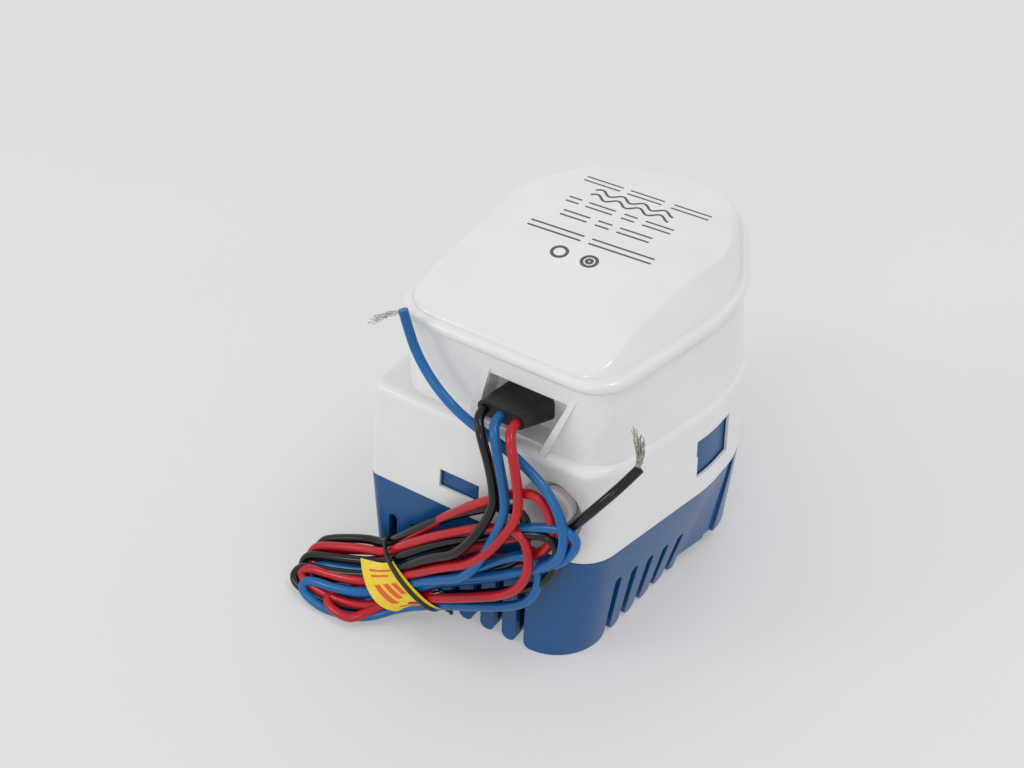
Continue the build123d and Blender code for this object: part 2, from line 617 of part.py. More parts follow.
def knob_finger():
    """Short lever on the spindle's inner end, which lifts the float's stem in a test."""
    hub = rod_y(KNOB_X, KNOB_Z, -59.4, -57, 4.0)
    arm = block(KNOB_X - 9, KNOB_X, -59.4, -57, KNOB_Z - 1.8, KNOB_Z + 1.8)
    arm += rod_y(KNOB_X - 9, KNOB_Z, -59.4, -57, 1.8)
    return hub + arm - rod_y(KNOB_X, KNOB_Z, -61, -56, SPINDLE_R)


def knob_spring():
    """Three turns of a torsion spring around the spindle's boss."""
    turns = []
    for i in range(3):
        turns.append(Pos(KNOB_X, -64.2 + 1.3 * i, KNOB_Z) * Rot(90, 0, 0) * Torus(5.9, 0.55))
    return Compound(turns)


# Gland and wires

def cable_gland():
    """Moulded rubber wedge that the three leads come out of, with a neck through the wall."""
    rear = Pos(5.2, RECESS_Y, 87.2) * (Plane.XZ * RectangleRounded(17.6, 10.2, 3))
    front = Pos(4.2, GLAND_Y, LEAD_Z) * (Plane.XZ * RectangleRounded(17, 5.8, 2.7))
    wedge = loft([rear, front], ruled=True)
    x0, x1, z0, z1 = NECK
    neck = block(x0, x1, RECESS_Y, RECESS_Y + WALL + 0.5, z0, z1)
    back = block(x0 - 3.1, x1 + 1, RECESS_Y + WALL + 0.05, RECESS_Y + WALL + 2, 83.5, 94.5)
    return wedge + neck + back


def along(points, radii, radius):
    """Plain tube along straight runs joined by tangent arcs."""
    path = FilletPolyline(*points, radius=radii)
    section = Plane(path @ 0, z_dir=path % 0) * Circle(radius)
    return sweep(section, path=path, transition=Transition.ROUND)


def arc_radii(points):
    """As large an arc at each corner as the two runs allow."""
    radii = []
    for a, b, c in zip(points, points[1:], points[2:]):
        first = Vector(*b) - Vector(*a)
        second = Vector(*c) - Vector(*b)
        turn = radians(first.get_angle(second))
        radii.append(0.45 * min(first.length, second.length) / tan(turn / 2))
    return radii


def cord(node, points, radius):
    """One tube of a free cord; prints its tightest arc and how its volume compares."""
    radii = arc_radii(points)
    solid = along(points, radii, radius)
    length = FilletPolyline(*points, radius=radii).length
    ratio = solid.volume / (pi * radius ** 2 * length)
    print(f"{node}: {length:.1f} mm, tightest arc {min(radii):.1f} mm, volume ratio {ratio:.3f}")
    save(solid, node)


def inner_leads():
    """Three short leads from the gland to the motor's terminals and the switch."""
    start_y = RECESS_Y + WALL + 2.1
    leads = []
    for x, end in zip(LEAD_X, INNER_ENDS):
        route = [(x, start_y, 90), (x, -48, 90), (x, -38, 103), (end, -22, 105.5), (end, MOTOR_Y, 104.4)]
        if x == LEAD_X[1]:
            route = [(x, start_y, 90), (x, -52, 90), (SWITCH_X, SWITCH_Y, 88), (SWITCH_X, SWITCH_Y, 76.2)]
        leads.append(along(route, [2.0] * (len(route) - 2), 0.9))
    return Compound(leads)


def hank_row(t):
    """Section of the hank at a place between two of its rows."""
    i = min(int(t), len(HANK) - 2)
    return [Vector(*a) + (Vector(*b) - Vector(*a)) * (t - i) for a, b in zip(HANK[i], HANK[i + 1])]


def hank_face(t, scale=1.0):
    """Eight-cornered section, as a rounded bundle would fill it."""
    centre, wide, thick = hank_row(t)
    corners = []
    for i in range(8):
        angle = radians(45 * i + 22.5)
        corners.append(centre + (wide * cos(angle) + thick * sin(angle)) * (1.08 * scale))
    return make_face(Polyline(*corners, close=True))


def wire_hank():
    return loft([hank_face(i) for i in range(len(HANK))], ruled=True)


def twist_tie(hank):
    return loft([hank_face(t, 1.12) for t in TIE_ROWS], ruled=True) - hank


def hank_tag(hank):
    """Printed sheet that lies on the hank's outer side, beside the tie."""
    near, far = TAG_EDGES
    sides = []
    for t in TAG_ROWS:
        centre, wide, thick = hank_row(t)
        corners = [centre + wide * a + thick * b for a, b in ((near, 0.1), (near, 2), (far, 2), (far, 0.1))]
        sides.append(make_face(Polyline(*corners, close=True)))
    sleeve = loft([hank_face(t, 1.1) for t in TAG_ROWS], ruled=True) - hank
    return sleeve & loft(sides, ruled=True)


def strands(start, end):
    """Bare end of a lead, as one slim solid that widens."""
    a, b = Vector(*start), Vector(*end)
    return loft([Plane(a, z_dir=b - a) * Circle(1.0), Plane(b, z_dir=b - a) * Circle(1.6)], ruled=True)


os.makedirs("parts", exist_ok=True)
save(strainer_base(), "strainer_base")
save(latch_tab_right(), "latch_tab_right")
save(latch_tab_left(), "latch_tab_left")
save(pump_housing(), "pump_housing")
save(cap_gasket(), "cap_gasket")
save(top_cap(), "top_cap")
save(motor_can(), "motor_can")
save(motor_end_cap(), "motor_end_cap")
save(motor_ring(), "motor_ring")
save(field_magnets(), "field_magnets")
save(armature_core(), "armature_core")
save(armature_windings(), "armature_windings")
save(commutator(), "commutator")
save(shaft(), "shaft")
save(brush_holder(), "brush_holder")
save(brushes(), "brushes")
save(brush_springs(), "brush_springs")
save(bush(CAN_Z1 - 0.4, CAN_Z1 + 4), "upper_bush")
save(bush(CAN_Z0, CAN_Z0 + 3.5), "lower_bush")
save(shaft_seal(), "shaft_seal")
save(impeller(), "impeller")
save(impeller_nut(), "impeller_nut")
save(volute_cover(), "volute_cover")
save(volute_o_ring(), "volute_o_ring")
save(volute_screws(), "volute_screws")
save(discharge_barb(), "discharge_barb")
save(barb_o_ring(), "barb_o_ring")
save(float_body(), "float_body")
save(float_magnet(), "float_magnet")
save(float_pin(), "float_pin")
save(reed_switch(), "reed_switch")
save(test_knob(), "test_knob")
save(knob_o_ring(), "knob_o_ring")
save(knob_finger(), "knob_finger")
save(knob_spring(), "knob_spring")
save(cable_gland(), "cable_gland")
save(inner_leads(), "inner_leads")
hank = wire_hank()
save(hank, "wire_hank")
save(twist_tie(hank), "twist_tie")
save(hank_tag(hank), "hank_tag")
for node, route in {**LEAD_ROUTES, **TAIL_ROUTES}.items():
    cord(node, route, LEAD_R)
for node, route in STRAND_ROUTES.items():
    save(strands(*route), node)
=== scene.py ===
import bmesh
import bpy
import json
import math
import random
from mathutils import Matrix, Vector
from mathutils.bvhtree import BVHTree


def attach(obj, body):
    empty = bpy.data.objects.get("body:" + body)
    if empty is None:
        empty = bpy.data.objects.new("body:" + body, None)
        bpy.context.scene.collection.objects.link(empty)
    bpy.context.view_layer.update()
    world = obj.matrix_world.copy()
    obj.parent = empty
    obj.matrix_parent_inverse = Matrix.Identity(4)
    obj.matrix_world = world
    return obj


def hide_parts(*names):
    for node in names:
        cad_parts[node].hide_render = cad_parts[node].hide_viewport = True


# Looks of the bilge pump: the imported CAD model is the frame, and everything here is in its row frame.
# Tables are in millimetres and turned into metres where they are used.

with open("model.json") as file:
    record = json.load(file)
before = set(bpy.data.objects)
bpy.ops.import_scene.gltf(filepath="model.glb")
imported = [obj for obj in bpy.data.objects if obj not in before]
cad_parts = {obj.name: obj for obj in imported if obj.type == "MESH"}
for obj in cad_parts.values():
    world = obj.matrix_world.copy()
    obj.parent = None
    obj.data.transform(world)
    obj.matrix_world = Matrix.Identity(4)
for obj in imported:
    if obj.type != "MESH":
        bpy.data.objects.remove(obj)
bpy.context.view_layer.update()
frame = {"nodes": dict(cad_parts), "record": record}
NODES = frame["nodes"]
MM = 0.001


def mm(point):
    """Vector in metres from a point in millimetres."""
    return Vector(point) * MM


# Camera, in metres: it stands in front, to the right of and above the pump, and looks down at it

CAMERA_PLACE = (0.2930, -0.4970, 0.5172)
CAMERA_LOOKS = (-0.4346, 0.6442, -0.6293)


def add_camera():
    forward = Vector(CAMERA_LOOKS).normalized()
    right = forward.cross(Vector((0, 0, 1))).normalized()
    up = right.cross(forward)
    data = bpy.data.cameras.new("camera")
    data.sensor_width = 36
    data.lens = 77.34
    data.clip_start = 0.02
    data.clip_end = 20
    camera = bpy.data.objects.new("camera", data)
    bpy.context.scene.collection.objects.link(camera)
    turn = Matrix((right, up, -forward)).transposed()
    camera.matrix_world = Matrix.Translation(CAMERA_PLACE) @ turn.to_4x4()
    bpy.context.scene.camera = camera


# Materials

def new_material(name, roughness, **sockets):
    """Material, its node tree and its shader; other sockets are named with _ for a space."""
    material = bpy.data.materials.new(name)
    material.use_nodes = True
    tree = material.node_tree
    shader = tree.nodes["Principled BSDF"]
    shader.inputs["Roughness"].default_value = roughness
    for socket, value in sockets.items():
        shader.inputs[socket.replace("_", " ")].default_value = value
    return material, tree, shader


def coordinates(tree, stretch=(1, 1, 1)):
    """Object coordinates in metres, stretched for grain that runs one way."""
    source = tree.nodes.new("ShaderNodeTexCoord")
    mapping = tree.nodes.new("ShaderNodeMapping")
    mapping.inputs["Scale"].default_value = stretch
    tree.links.new(source.outputs["Object"], mapping.inputs["Vector"])
    return mapping.outputs["Vector"]


def noise(tree, vector, scale, detail, rough=0.55):
    made = tree.nodes.new("ShaderNodeTexNoise")
    made.inputs["Scale"].default_value = scale
    made.inputs["Detail"].default_value = detail
    made.inputs["Roughness"].default_value = rough
    tree.links.new(vector, made.inputs["Vector"])
    return made.outputs["Fac"]


def spread(tree, value, low, high, start=0.35, stop=0.65):
    """Turns a value between start and stop into one between low and high."""
    made = tree.nodes.new("ShaderNodeMapRange")
    for socket, number in (("From Min", start), ("From Max", stop), ("To Min", low), ("To Max", high)):
        made.inputs[socket].default_value = number
    tree.links.new(value, made.inputs["Value"])
    return made.outputs["Result"]


def layered(tree, factor, below, over):
    """The colour below, a value or a socket, with the other over it where factor is 1."""
    made = tree.nodes.new("ShaderNodeMix")
    made.data_type = "RGBA"
    share, first, second = (made.inputs[i] for i in (0, 6, 7))
    if isinstance(below, tuple):
        first.default_value = (*below, 1)
    else:
        tree.links.new(below, first)
    second.default_value = (*over, 1)
    tree.links.new(factor, share)
    return made.outputs[2]


def calculated(tree, operation, value, *others):
    """Math node: each of others is a number or a socket."""
    made = tree.nodes.new("ShaderNodeMath")
    made.operation = operation
    tree.links.new(value, made.inputs[0])
    for socket, other in zip(made.inputs[1:], others):
        if isinstance(other, (int, float)):
            socket.default_value = other
        else:
            tree.links.new(other, socket)
    return made.outputs[0]


def bump(tree, height, distance, strength, normal=None):
    made = tree.nodes.new("ShaderNodeBump")
    made.inputs["Distance"].default_value = distance
    made.inputs["Strength"].default_value = strength
    tree.links.new(height, made.inputs["Height"])
    if normal:
        tree.links.new(normal, made.inputs["Normal"])
    return made.outputs["Normal"]


def scratches(tree):
    """Fine lines, where a stretched noise passes its middle: 1 on a scratch, 0 beside it."""
    lines = noise(tree, coordinates(tree, (1, 6, 1.5)), 60, 2.0, 0.4)
    away = calculated(tree, "ABSOLUTE", calculated(tree, "SUBTRACT", lines, 0.5))
    return spread(tree, away, 1.0, 0.0, 0.0, 0.004)


def rounded_normal(tree, radius):
    """Normal that turns smoothly over sharp edges."""
    made = tree.nodes.new("ShaderNodeBevel")
    made.samples = 4
    made.inputs["Radius"].default_value = radius
    return made.outputs["Normal"]


def edge_mask(tree, rounded):
    """1 along sharp edges, from the difference between the rounded and the flat normal."""
    geometry = tree.nodes.new("ShaderNodeNewGeometry")
    dot = tree.nodes.new("ShaderNodeVectorMath")
    dot.operation = "DOT_PRODUCT"
    tree.links.new(rounded, dot.inputs[0])
    tree.links.new(geometry.outputs["Normal"], dot.inputs[1])
    return spread(tree, dot.outputs["Value"], 1.0, 0.0, 0.80, 0.99)


def moulded(name, colour, worn, roughness, gloss_range, grain, coat=0.0):
    """Injection moulded plastic: slow colour drift, fine grain, hairline scratches and worn edges."""
    material, tree, shader = new_material(name, roughness)
    plain = coordinates(tree)
    drift = noise(tree, plain, 22, 3)
    fine = noise(tree, plain, grain, 5)
    deep = tuple(c * 0.93 for c in colour)
    base = layered(tree, spread(tree, drift, 0, 1), colour, deep)
    rounded = rounded_normal(tree, 0.0004)
    speck = spread(tree, noise(tree, plain, 900, 2), 0, 0.7, 0.45, 0.75)
    rubbed = calculated(tree, "MULTIPLY", edge_mask(tree, rounded), speck)
    tree.links.new(layered(tree, rubbed, base, worn), shader.inputs["Base Color"])
    patchy = spread(tree, fine, roughness - gloss_range, roughness + gloss_range)
    dulled = calculated(tree, "MULTIPLY_ADD", scratches(tree), 0.12, patchy)
    tree.links.new(dulled, shader.inputs["Roughness"])
    surface = bump(tree, fine, 0.000006, 0.4, rounded)
    surface = bump(tree, drift, 0.00025, 0.2, surface)
    tree.links.new(surface, shader.inputs["Normal"])
    shader.inputs["Coat Weight"].default_value = coat
    shader.inputs["Coat Roughness"].default_value = 0.12
    return material


def rubber(name, colour, roughness):
    """Matt rubber or vinyl: fine grain and paler patches."""
    material, tree, shader = new_material(name, roughness)
    plain = coordinates(tree)
    fine = noise(tree, plain, 2600, 4)
    broad = noise(tree, plain, 120, 3)
    pale = tuple(c * 1.9 + 0.006 for c in colour)
    tree.links.new(layered(tree, spread(tree, broad, 0, 1), colour, pale), shader.inputs["Base Color"])
    tree.links.new(spread(tree, fine, roughness - 0.12, roughness + 0.1), shader.inputs["Roughness"])
    rounded = rounded_normal(tree, 0.0005)
    tree.links.new(bump(tree, fine, 0.00004, 0.7, rounded), shader.inputs["Normal"])
    return material


def insulation(name, colour, pale):
    """Smooth, glossy PVC with slow drifts of colour, faint dust and hardly any unevenness."""
    roughness = 0.16
    material, tree, shader = new_material(name, roughness)
    plain = coordinates(tree)
    dust = spread(tree, noise(tree, plain, 260, 5), 0, 0.14, 0.52, 0.8)
    drift = spread(tree, noise(tree, plain, 35, 2), 0, 1)
    dark = tuple(c * 0.8 for c in colour)
    base = layered(tree, drift, colour, dark)
    tree.links.new(layered(tree, dust, base, pale), shader.inputs["Base Color"])
    tree.links.new(spread(tree, noise(tree, plain, 420, 4), roughness - 0.04, roughness + 0.08),
                   shader.inputs["Roughness"])
    fine = noise(tree, plain, 300, 2)
    tree.links.new(bump(tree, fine, 0.00002, 0.15), shader.inputs["Normal"])
    shader.inputs["Specular IOR Level"].default_value = 0.42
    return material


TARNISH = (0.2, 0.19, 0.18)


def metal(name, colour, roughness, stretch):
    """Brushed, rolled or turned metal: grain that runs one way and a little tarnish."""
    material, tree, shader = new_material(name, roughness, Metallic=1.0)
    grain = noise(tree, coordinates(tree, stretch), 900, 4)
    stain = spread(tree, noise(tree, coordinates(tree), 160, 4), 0, 0.25, 0.5, 0.75)
    dark = tuple(c * 0.75 for c in colour)
    base = layered(tree, spread(tree, grain, 0, 1), colour, dark)
    tree.links.new(layered(tree, stain, base, TARNISH), shader.inputs["Base Color"])
    tree.links.new(spread(tree, grain, roughness - 0.1, roughness + 0.15), shader.inputs["Roughness"])
    tree.links.new(bump(tree, grain, 0.00002, 0.6), shader.inputs["Normal"])
    return material


# Scale of a wave texture whose bands are one metre apart
WAVE_TURN = 0.3142


def banded(name, first, second, pitch, roughness, metallic):
    """Stacked sheets or turns of wire, one above the other along Z."""
    material, tree, shader = new_material(name, roughness, Metallic=metallic)
    wave = tree.nodes.new("ShaderNodeTexWave")
    wave.wave_type = "BANDS"
    wave.bands_direction = "Z"
    wave.inputs["Scale"].default_value = WAVE_TURN / pitch
    wave.inputs["Distortion"].default_value = 0.6
    tree.links.new(coordinates(tree), wave.inputs["Vector"])
    speck = noise(tree, coordinates(tree), 1500, 3)
    base = layered(tree, wave.outputs["Fac"], first, second)
    base = layered(tree, spread(tree, speck, 0, 0.3, 0.5, 0.8), base, second)
    tree.links.new(base, shader.inputs["Base Color"])
    tree.links.new(spread(tree, speck, roughness - 0.08, roughness + 0.12), shader.inputs["Roughness"])
    tree.links.new(bump(tree, wave.outputs["Fac"], pitch * 0.3, 0.8), shader.inputs["Normal"])
    return material


def granular(name, colour, pale, scale, roughness, depth, metallic=0.0):
    """Sintered, pressed or foamed body: open grain at one scale."""
    material, tree, shader = new_material(name, roughness, Metallic=metallic)
    cells = tree.nodes.new("ShaderNodeTexVoronoi")
    cells.inputs["Scale"].default_value = scale
    tree.links.new(coordinates(tree), cells.inputs["Vector"])
    cloud = noise(tree, coordinates(tree), scale * 0.2, 4)
    base = layered(tree, spread(tree, cells.outputs["Distance"], 0, 1, 0.1, 0.8), colour, pale)
    tree.links.new(layered(tree, spread(tree, cloud, 0, 0.4), base, colour), shader.inputs["Base Color"])
    tree.links.new(spread(tree, cloud, roughness - 0.1, roughness + 0.1), shader.inputs["Roughness"])
    tree.links.new(bump(tree, cells.outputs["Distance"], depth, 0.6), shader.inputs["Normal"])
    return material


def glass(name):
    """Thin clear glass with a faint cloud."""
    material, tree, shader = new_material(name, 0.05, Transmission_Weight=0.9, IOR=1.5)
    cloud = noise(tree, coordinates(tree), 300, 3)
    tree.links.new(layered(tree, spread(tree, cloud, 0, 1), (0.86, 0.93, 0.91), (0.78, 0.88, 0.86)),
                   shader.inputs["Base Color"])
    tree.links.new(spread(tree, cloud, 0.03, 0.09), shader.inputs["Roughness"])
    return material


def printed(name, colour, roughness=0.45):
    """Screen-printed ink: slightly uneven cover."""
    material, tree, shader = new_material(name, roughness)
    cover = noise(tree, coordinates(tree), 1400, 4)
    thin = tuple(c * 0.7 + 0.06 for c in colour)
    base = layered(tree, spread(tree, cover, 0, 1, 0.45, 0.8), colour, thin)
    tree.links.new(base, shader.inputs["Base Color"])
    tree.links.new(spread(tree, cover, roughness - 0.1, roughness + 0.1), shader.inputs["Roughness"])
    tree.links.new(bump(tree, cover, 0.00001, 0.5), shader.inputs["Normal"])
    return material


MATERIALS = {
    "cap_white": moulded("gloss_white", (0.80, 0.80, 0.785), (0.84, 0.84, 0.83), 0.20, 0.05, 5200,
                         coat=0.5),
    "housing_white": moulded("satin_white", (0.82, 0.82, 0.815), (0.86, 0.86, 0.85), 0.28, 0.05, 4800,
                             coat=0.15),
    "strainer_blue": moulded("satin_blue", (0.002, 0.080, 0.252), (0.02, 0.13, 0.33), 0.27, 0.05, 4400),
    "volute_white": moulded("matt_white", (0.68, 0.68, 0.67), (0.76, 0.76, 0.75), 0.48, 0.08, 700),
    "impeller_grey": moulded("acetal_grey", (0.10, 0.11, 0.13), (0.2, 0.21, 0.23), 0.42, 0.08, 900),
    "inner_plastic": moulded("nylon_dark", (0.030, 0.033, 0.038), (0.09, 0.09, 0.10), 0.5, 0.08, 900),
    # The knob's white is brighter than the housing's white: painted light, to make up for the shade of the
    # pocket that the knob sits in.
    "knob_white": moulded("knob_white", (0.88, 0.88, 0.87), (0.90, 0.90, 0.89), 0.26, 0.05, 4800, coat=0.3),
    "black_rubber": rubber("black_rubber", (0.006, 0.006, 0.0065), 0.5),
    "motor_steel": metal("zinc_plate", (0.55, 0.56, 0.56), 0.34, (1, 1, 8)),
    "stainless": metal("stainless", (0.62, 0.61, 0.60), 0.26, (6, 6, 1)),
    "copper": banded("enamelled_copper", (0.72, 0.28, 0.10), (0.30, 0.09, 0.03), 0.0005, 0.3, 0.9),
    "laminations": banded("laminated_steel", (0.40, 0.40, 0.41), (0.16, 0.16, 0.17), 0.0006, 0.4, 0.9),
    "sintered_bronze": granular("sintered_bronze", (0.42, 0.27, 0.11), (0.62, 0.44, 0.21), 2600, 0.45,
                                0.00005, 0.9),
    "ferrite": granular("ferrite", (0.028, 0.028, 0.031), (0.065, 0.065, 0.07), 2200, 0.55, 0.00004),
    "carbon": granular("carbon", (0.018, 0.018, 0.019), (0.05, 0.05, 0.05), 3000, 0.45, 0.00003),
    "float_grey": granular("foamed_float", (0.50, 0.51, 0.50), (0.62, 0.63, 0.62), 700, 0.6, 0.00012),
    "switch_glass": glass("switch_glass"),
    "wire_black": insulation("wire_black", (0.003, 0.0035, 0.0045), (0.022, 0.023, 0.025)),
    "wire_blue": insulation("wire_blue", (0.004, 0.125, 0.37), (0.03, 0.19, 0.48)),
    "wire_red": insulation("wire_red", (0.52, 0.008, 0.016), (0.58, 0.04, 0.05)),
    "tinned_strands": metal("tinned_strands", (0.60, 0.56, 0.50), 0.3, (1, 1, 1)),
    "tag_yellow": printed("tag_yellow", (0.88, 0.64, 0.022), 0.35),
    "tie_black": rubber("tie_black", (0.008, 0.008, 0.009), 0.42),
    "ink_grey": printed("ink_grey", (0.075, 0.078, 0.085)),
    "ink_red": printed("ink_red", (0.78, 0.10, 0.015), 0.4),
}


def dress(piece, slot):
    """Gives a piece the slot's material."""
    piece.data.materials.clear()
    piece.data.materials.append(MATERIALS[slot])


def dress_nodes():
    """Each CAD node takes the material of the slot that the record gives it."""
    for part in frame["record"]["subparts"]:
        for place in NODES[part["node"]].material_slots:
            place.material = MATERIALS[part["material_slot"]]


# Free leads: three cords in one hank, then a bare end on each

LEAD_R = 1.6
# Run from the gland down to the hank, and the end that stands out of it
LEADS = {
    "black": [(-1.6, -75, 91), (-1.6, -79, 91), (2.2, -82.8, 87.5), (5.4, -83.8, 80), (7.6, -84.2, 71),
              (8.8, -85.6, 62)],
    "blue": [(4.2, -75, 91), (4.2, -79, 91), (7.8, -83.3, 87.5), (10.2, -84.5, 80), (12.2, -85, 71),
             (13.2, -86, 61.5)],
    "red": [(10, -75, 90.6), (10, -79, 90.6), (13.6, -83, 87), (16, -84.5, 79.5), (17.4, -84.8, 71),
            (17.2, -86, 61.5)],
}
TAILS = {
    "black": [(28, -79.8, 56), (36, -79.4, 67), (42, -76.4, 75.6), (46, -71, 81), (47.6, -65, 83.4)],
    "blue": [(33.5, -83.8, 61), (30.5, -82.2, 69.5), (24, -80.4, 75.2), (15.8, -79, 79), (6, -77.8, 82.2),
             (-4.4, -76.8, 84), (-13, -75.8, 86.8), (-21, -74.8, 92), (-27.6, -73.8, 99.5), (-31, -73, 106.5),
             (-33.4, -72.5, 113.5)],
    "red": [],
}
# Hank, from its left end on the floor to its right end against the pump:
# centre, half width from the lower run to the upper, half depth towards the front. The tie is at row 3.
HANK = [
    ((-65, -91.5, 6.5), (1, 8, 4), (0.5, -2.5, 3)),
    ((-57, -92, 8), (-2, 9.5, 6), (0.5, -2.5, 4)),
    ((-41, -90, 10.6), (-5, 10.5, 8.6), (0.5, -4, 4)),
    ((-27.5, -84.8, 16), (-7, 3.5, 8), (-0.5, -5, 2)),
    ((-14, -84.6, 28), (-7, 2.5, 15), (-0.3, -5, 1)),
    ((2, -84.2, 39), (-4, 1.5, 19.5), (0, -5, 0.5)),
    ((20, -83.7, 51), (-2, 1, 22), (0.3, -4.5, 0.3)),
    ((33, -81.7, 56), (2, 1, 12), (0.3, -3.5, 0)),
]
TIE = 3
TIE_R = 0.72
# Rows that a turn may run past either end, and how far out the outer strands' axes lie
OVERRUN = 0.4
OUTER = 0.92
# A run's points: shares of the way from the tie to its right end, and rows on the way to its left end
RIGHT_SHARES = (1.0, 0.6, 0.25)
LEFT_ROWS = (2.75, 2.1, 1.45)
# How much sooner than its left end a run comes to the width and depth that it has there
SOONER = 1.25
# Rows that a bend at either end takes, and where its two points lie between one run and the next
BEND = 0.45
BEND_SHARES = (0.22, 0.78)
# Half turns, right to left and back in turn: row of the left end, then (width, depth) there,
# (width, depth) at the tie, row of the right end and (width, depth) there.
TURNS = {
    "black": [
        (0.15, (-0.15, 0.6), (0.16, 0.72), 4.9, (0.22, 1.3)),
        (0.05, (-0.85, -0.2), (-0.72, -0.23), 6.8, (-0.8, 0.1)),
        (0.05, (0.3, 0.45), (0.41, 0.6), 6.8, (0.35, 0.2)),
        (0.05, (-0.35, -0.5), (-0.29, -0.38), 5.9, (-0.35, -0.3)),
        (0.3, (0.92, 0), (0.88, 0.05), 6, (0.75, -0.3)),
        (0.3, (0.3, -0.5), (0.46, -0.4), 6.6, (0.3, -0.6)),
    ],
    "red": [
        (0.4, (-0.15, 0.66), (-0.08, 0.72), 5.2, (0, 1.2)),
        (0.4, (-0.6, 0), (-0.77, 0.27), 6.1, (-0.7, 0.7)),
        (0.15, (0.65, 0.35), (0.65, 0.4), 6.1, (0.45, 0.4)),
        (0.15, (0.1, -0.3), (-0.04, -0.28), 6.6, (-0.2, -0.2)),
        (0.6, (0.6, -0.1), (0.68, -0.1), 6.5, (1.1, -0.1)),
        (0.6, (0.1, -0.6), (0.21, -0.28), 6.9, (-0.6, -0.4)),
        (1.4, (-0.3, -0.1), (-0.05, 0.22), 7, (0.4, -0.4)),
        (1.4, (-1.05, 0.4), (-0.52, -0.02), 3.6, (-0.7, 0.3)),
    ],
    "blue": [
        (0.7, (-0.45, 0.6), (-0.32, 0.62), 5, (-0.25, 1.2)),
        (0.7, (-1, 0), (-0.95, -0.05), 6.3, (-1, 0.2)),
        (1.4, (-0.3, 0.2), (-0.55, 0.48), 6.2, (0, 0)),
        (1.4, (-0.7, -0.3), (-0.3, 0.12), 7.2, (-0.5, 0.2)),
        (0.7, (0.1, 0.1), (0.2, 0.22), 7.2, (0.7, 0.2)),
        (0.7, (-0.5, -0.6), (-0.52, -0.52), 6.9, (-0.4, 0.5)),
    ],
}


def hank_rows(row):
    """Centre, width and depth vectors at a row of HANK, on smooth curves through its rows."""
    row = min(max(row, -OVERRUN), len(HANK) - 1 + OVERRUN)
    i = min(max(int(row), 0), len(HANK) - 2)
    t = row - i
    vectors = []
    for k in range(3):
        near, far = Vector(HANK[i][k]), Vector(HANK[i + 1][k])
        before = Vector(HANK[i - 1][k]) if i > 0 else 2 * near - far
        after = Vector(HANK[i + 2][k]) if i + 2 < len(HANK) else 2 * far - near
        vectors.append(near + (far - before) * (t / 2)
                       + (2 * before - 5 * near + 4 * far - after) * (t * t / 2)
                       + (3 * near - 3 * far + after - before) * (t ** 3 / 2))
    return vectors


def in_hank(row, width, depth):
    """Point in millimetres; 1 or -1 is the hank's edge for width and for depth."""
    centre, across, out = hank_rows(row)
    return centre + across * width + out * depth


def between(a, b, t):
    """Numbers a share t of the way from those of a to those of b."""
    return [p + (q - p) * t for p, q in zip(a, b)]


def half_turn(turn, whole):
    """Points of one run, from its right end to its left end, as (row, width, depth).

    The right end stays short of its row, to leave room for the bend, unless the run is whole.
    """
    left_row, left, tie, right_row, right = turn
    start = right_row if whole else right_row - BEND
    points = []
    for share in RIGHT_SHARES:
        row = TIE + (start - TIE) * share
        points.append((row, *between(tie, right, (row - TIE) / (right_row - TIE))))
    last = left_row + BEND
    for row in (*LEFT_ROWS, last):
        if row >= last:
            share = min(1, SOONER * (TIE - row) / (TIE - left_row))
            points.append((row, *between(tie, left, share)))
    return points


def lead_route(colour):
    """Gland, hank turns and tail of one lead, in millimetres."""
    rows = TURNS[colour]
    places = []
    for i, turn in enumerate(rows):
        leftward = i % 2 == 0
        run = half_turn(turn, i == 0 or (i == len(rows) - 1 and not leftward))
        places += run if leftward else run[::-1]
        if i + 1 < len(rows):
            here, there = (half[:2] if leftward else half[3:] for half in (turn, rows[i + 1]))
            for end, share in zip((here, there), BEND_SHARES):
                places.append((end[0], *between(here[1], there[1], share)))
    ends = [[Vector(p) for p in table[colour]] for table in (LEADS, TAILS)]
    return ends[0] + [in_hank(*p) for p in places] + ends[1]


def new_curve(name, radius=0, roundness=0):
    """Empty curve in space, whose lines are round tubes with closed ends where it has a radius."""
    curve = bpy.data.curves.new(name, "CURVE")
    curve.dimensions = "3D"
    curve.bevel_depth = radius * MM
    curve.bevel_resolution = roundness
    curve.use_fill_caps = True
    return curve


def add_line(curve, points):
    """Gives a curve one open, smooth NURBS line, controlled by points in millimetres."""
    line = curve.splines.new("NURBS")
    line.points.add(len(points) - 1)
    for place, point in zip(line.points, points):
        place.co = (*mm(point), 1)
    line.order_u = 3
    line.use_endpoint_u = True


def placed(name, data, slot):
    """Object in the scene with the slot's material, which rides on the housing."""
    piece = bpy.data.objects.new(name, data)
    bpy.context.scene.collection.objects.link(piece)
    dress(piece, slot)
    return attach(piece, "housing")


def tube(name, points, radius, slot):
    """Round tube along the smooth line that points in millimetres control."""
    curve = new_curve(name, radius, 5)
    curve.resolution_u = 10
    add_line(curve, points)
    return placed(name, curve, slot)


def measured(points):
    """Points in metres along the smooth line that points in millimetres control."""
    curve = new_curve("measure")
    add_line(curve, points)
    holder = bpy.data.objects.new("measure", curve)
    mesh = bpy.data.meshes.new_from_object(holder)
    spots = [v.co.copy() for v in mesh.vertices]
    bpy.data.objects.remove(holder)
    bpy.data.meshes.remove(mesh)
    return spots


STRAND_R = 0.15
STRAND_STEPS = 7
# How far a strand starts inside the lead, and how far it may stray at each point past the first three
STRAND_ROOT = 1.2
STRAND_STRAY = 0.55
# How many turns the strands' places go round the lead's axis, and how far each strand twists
STRAND_ROUNDS = 2.4
STRAND_TWIST = 2.6


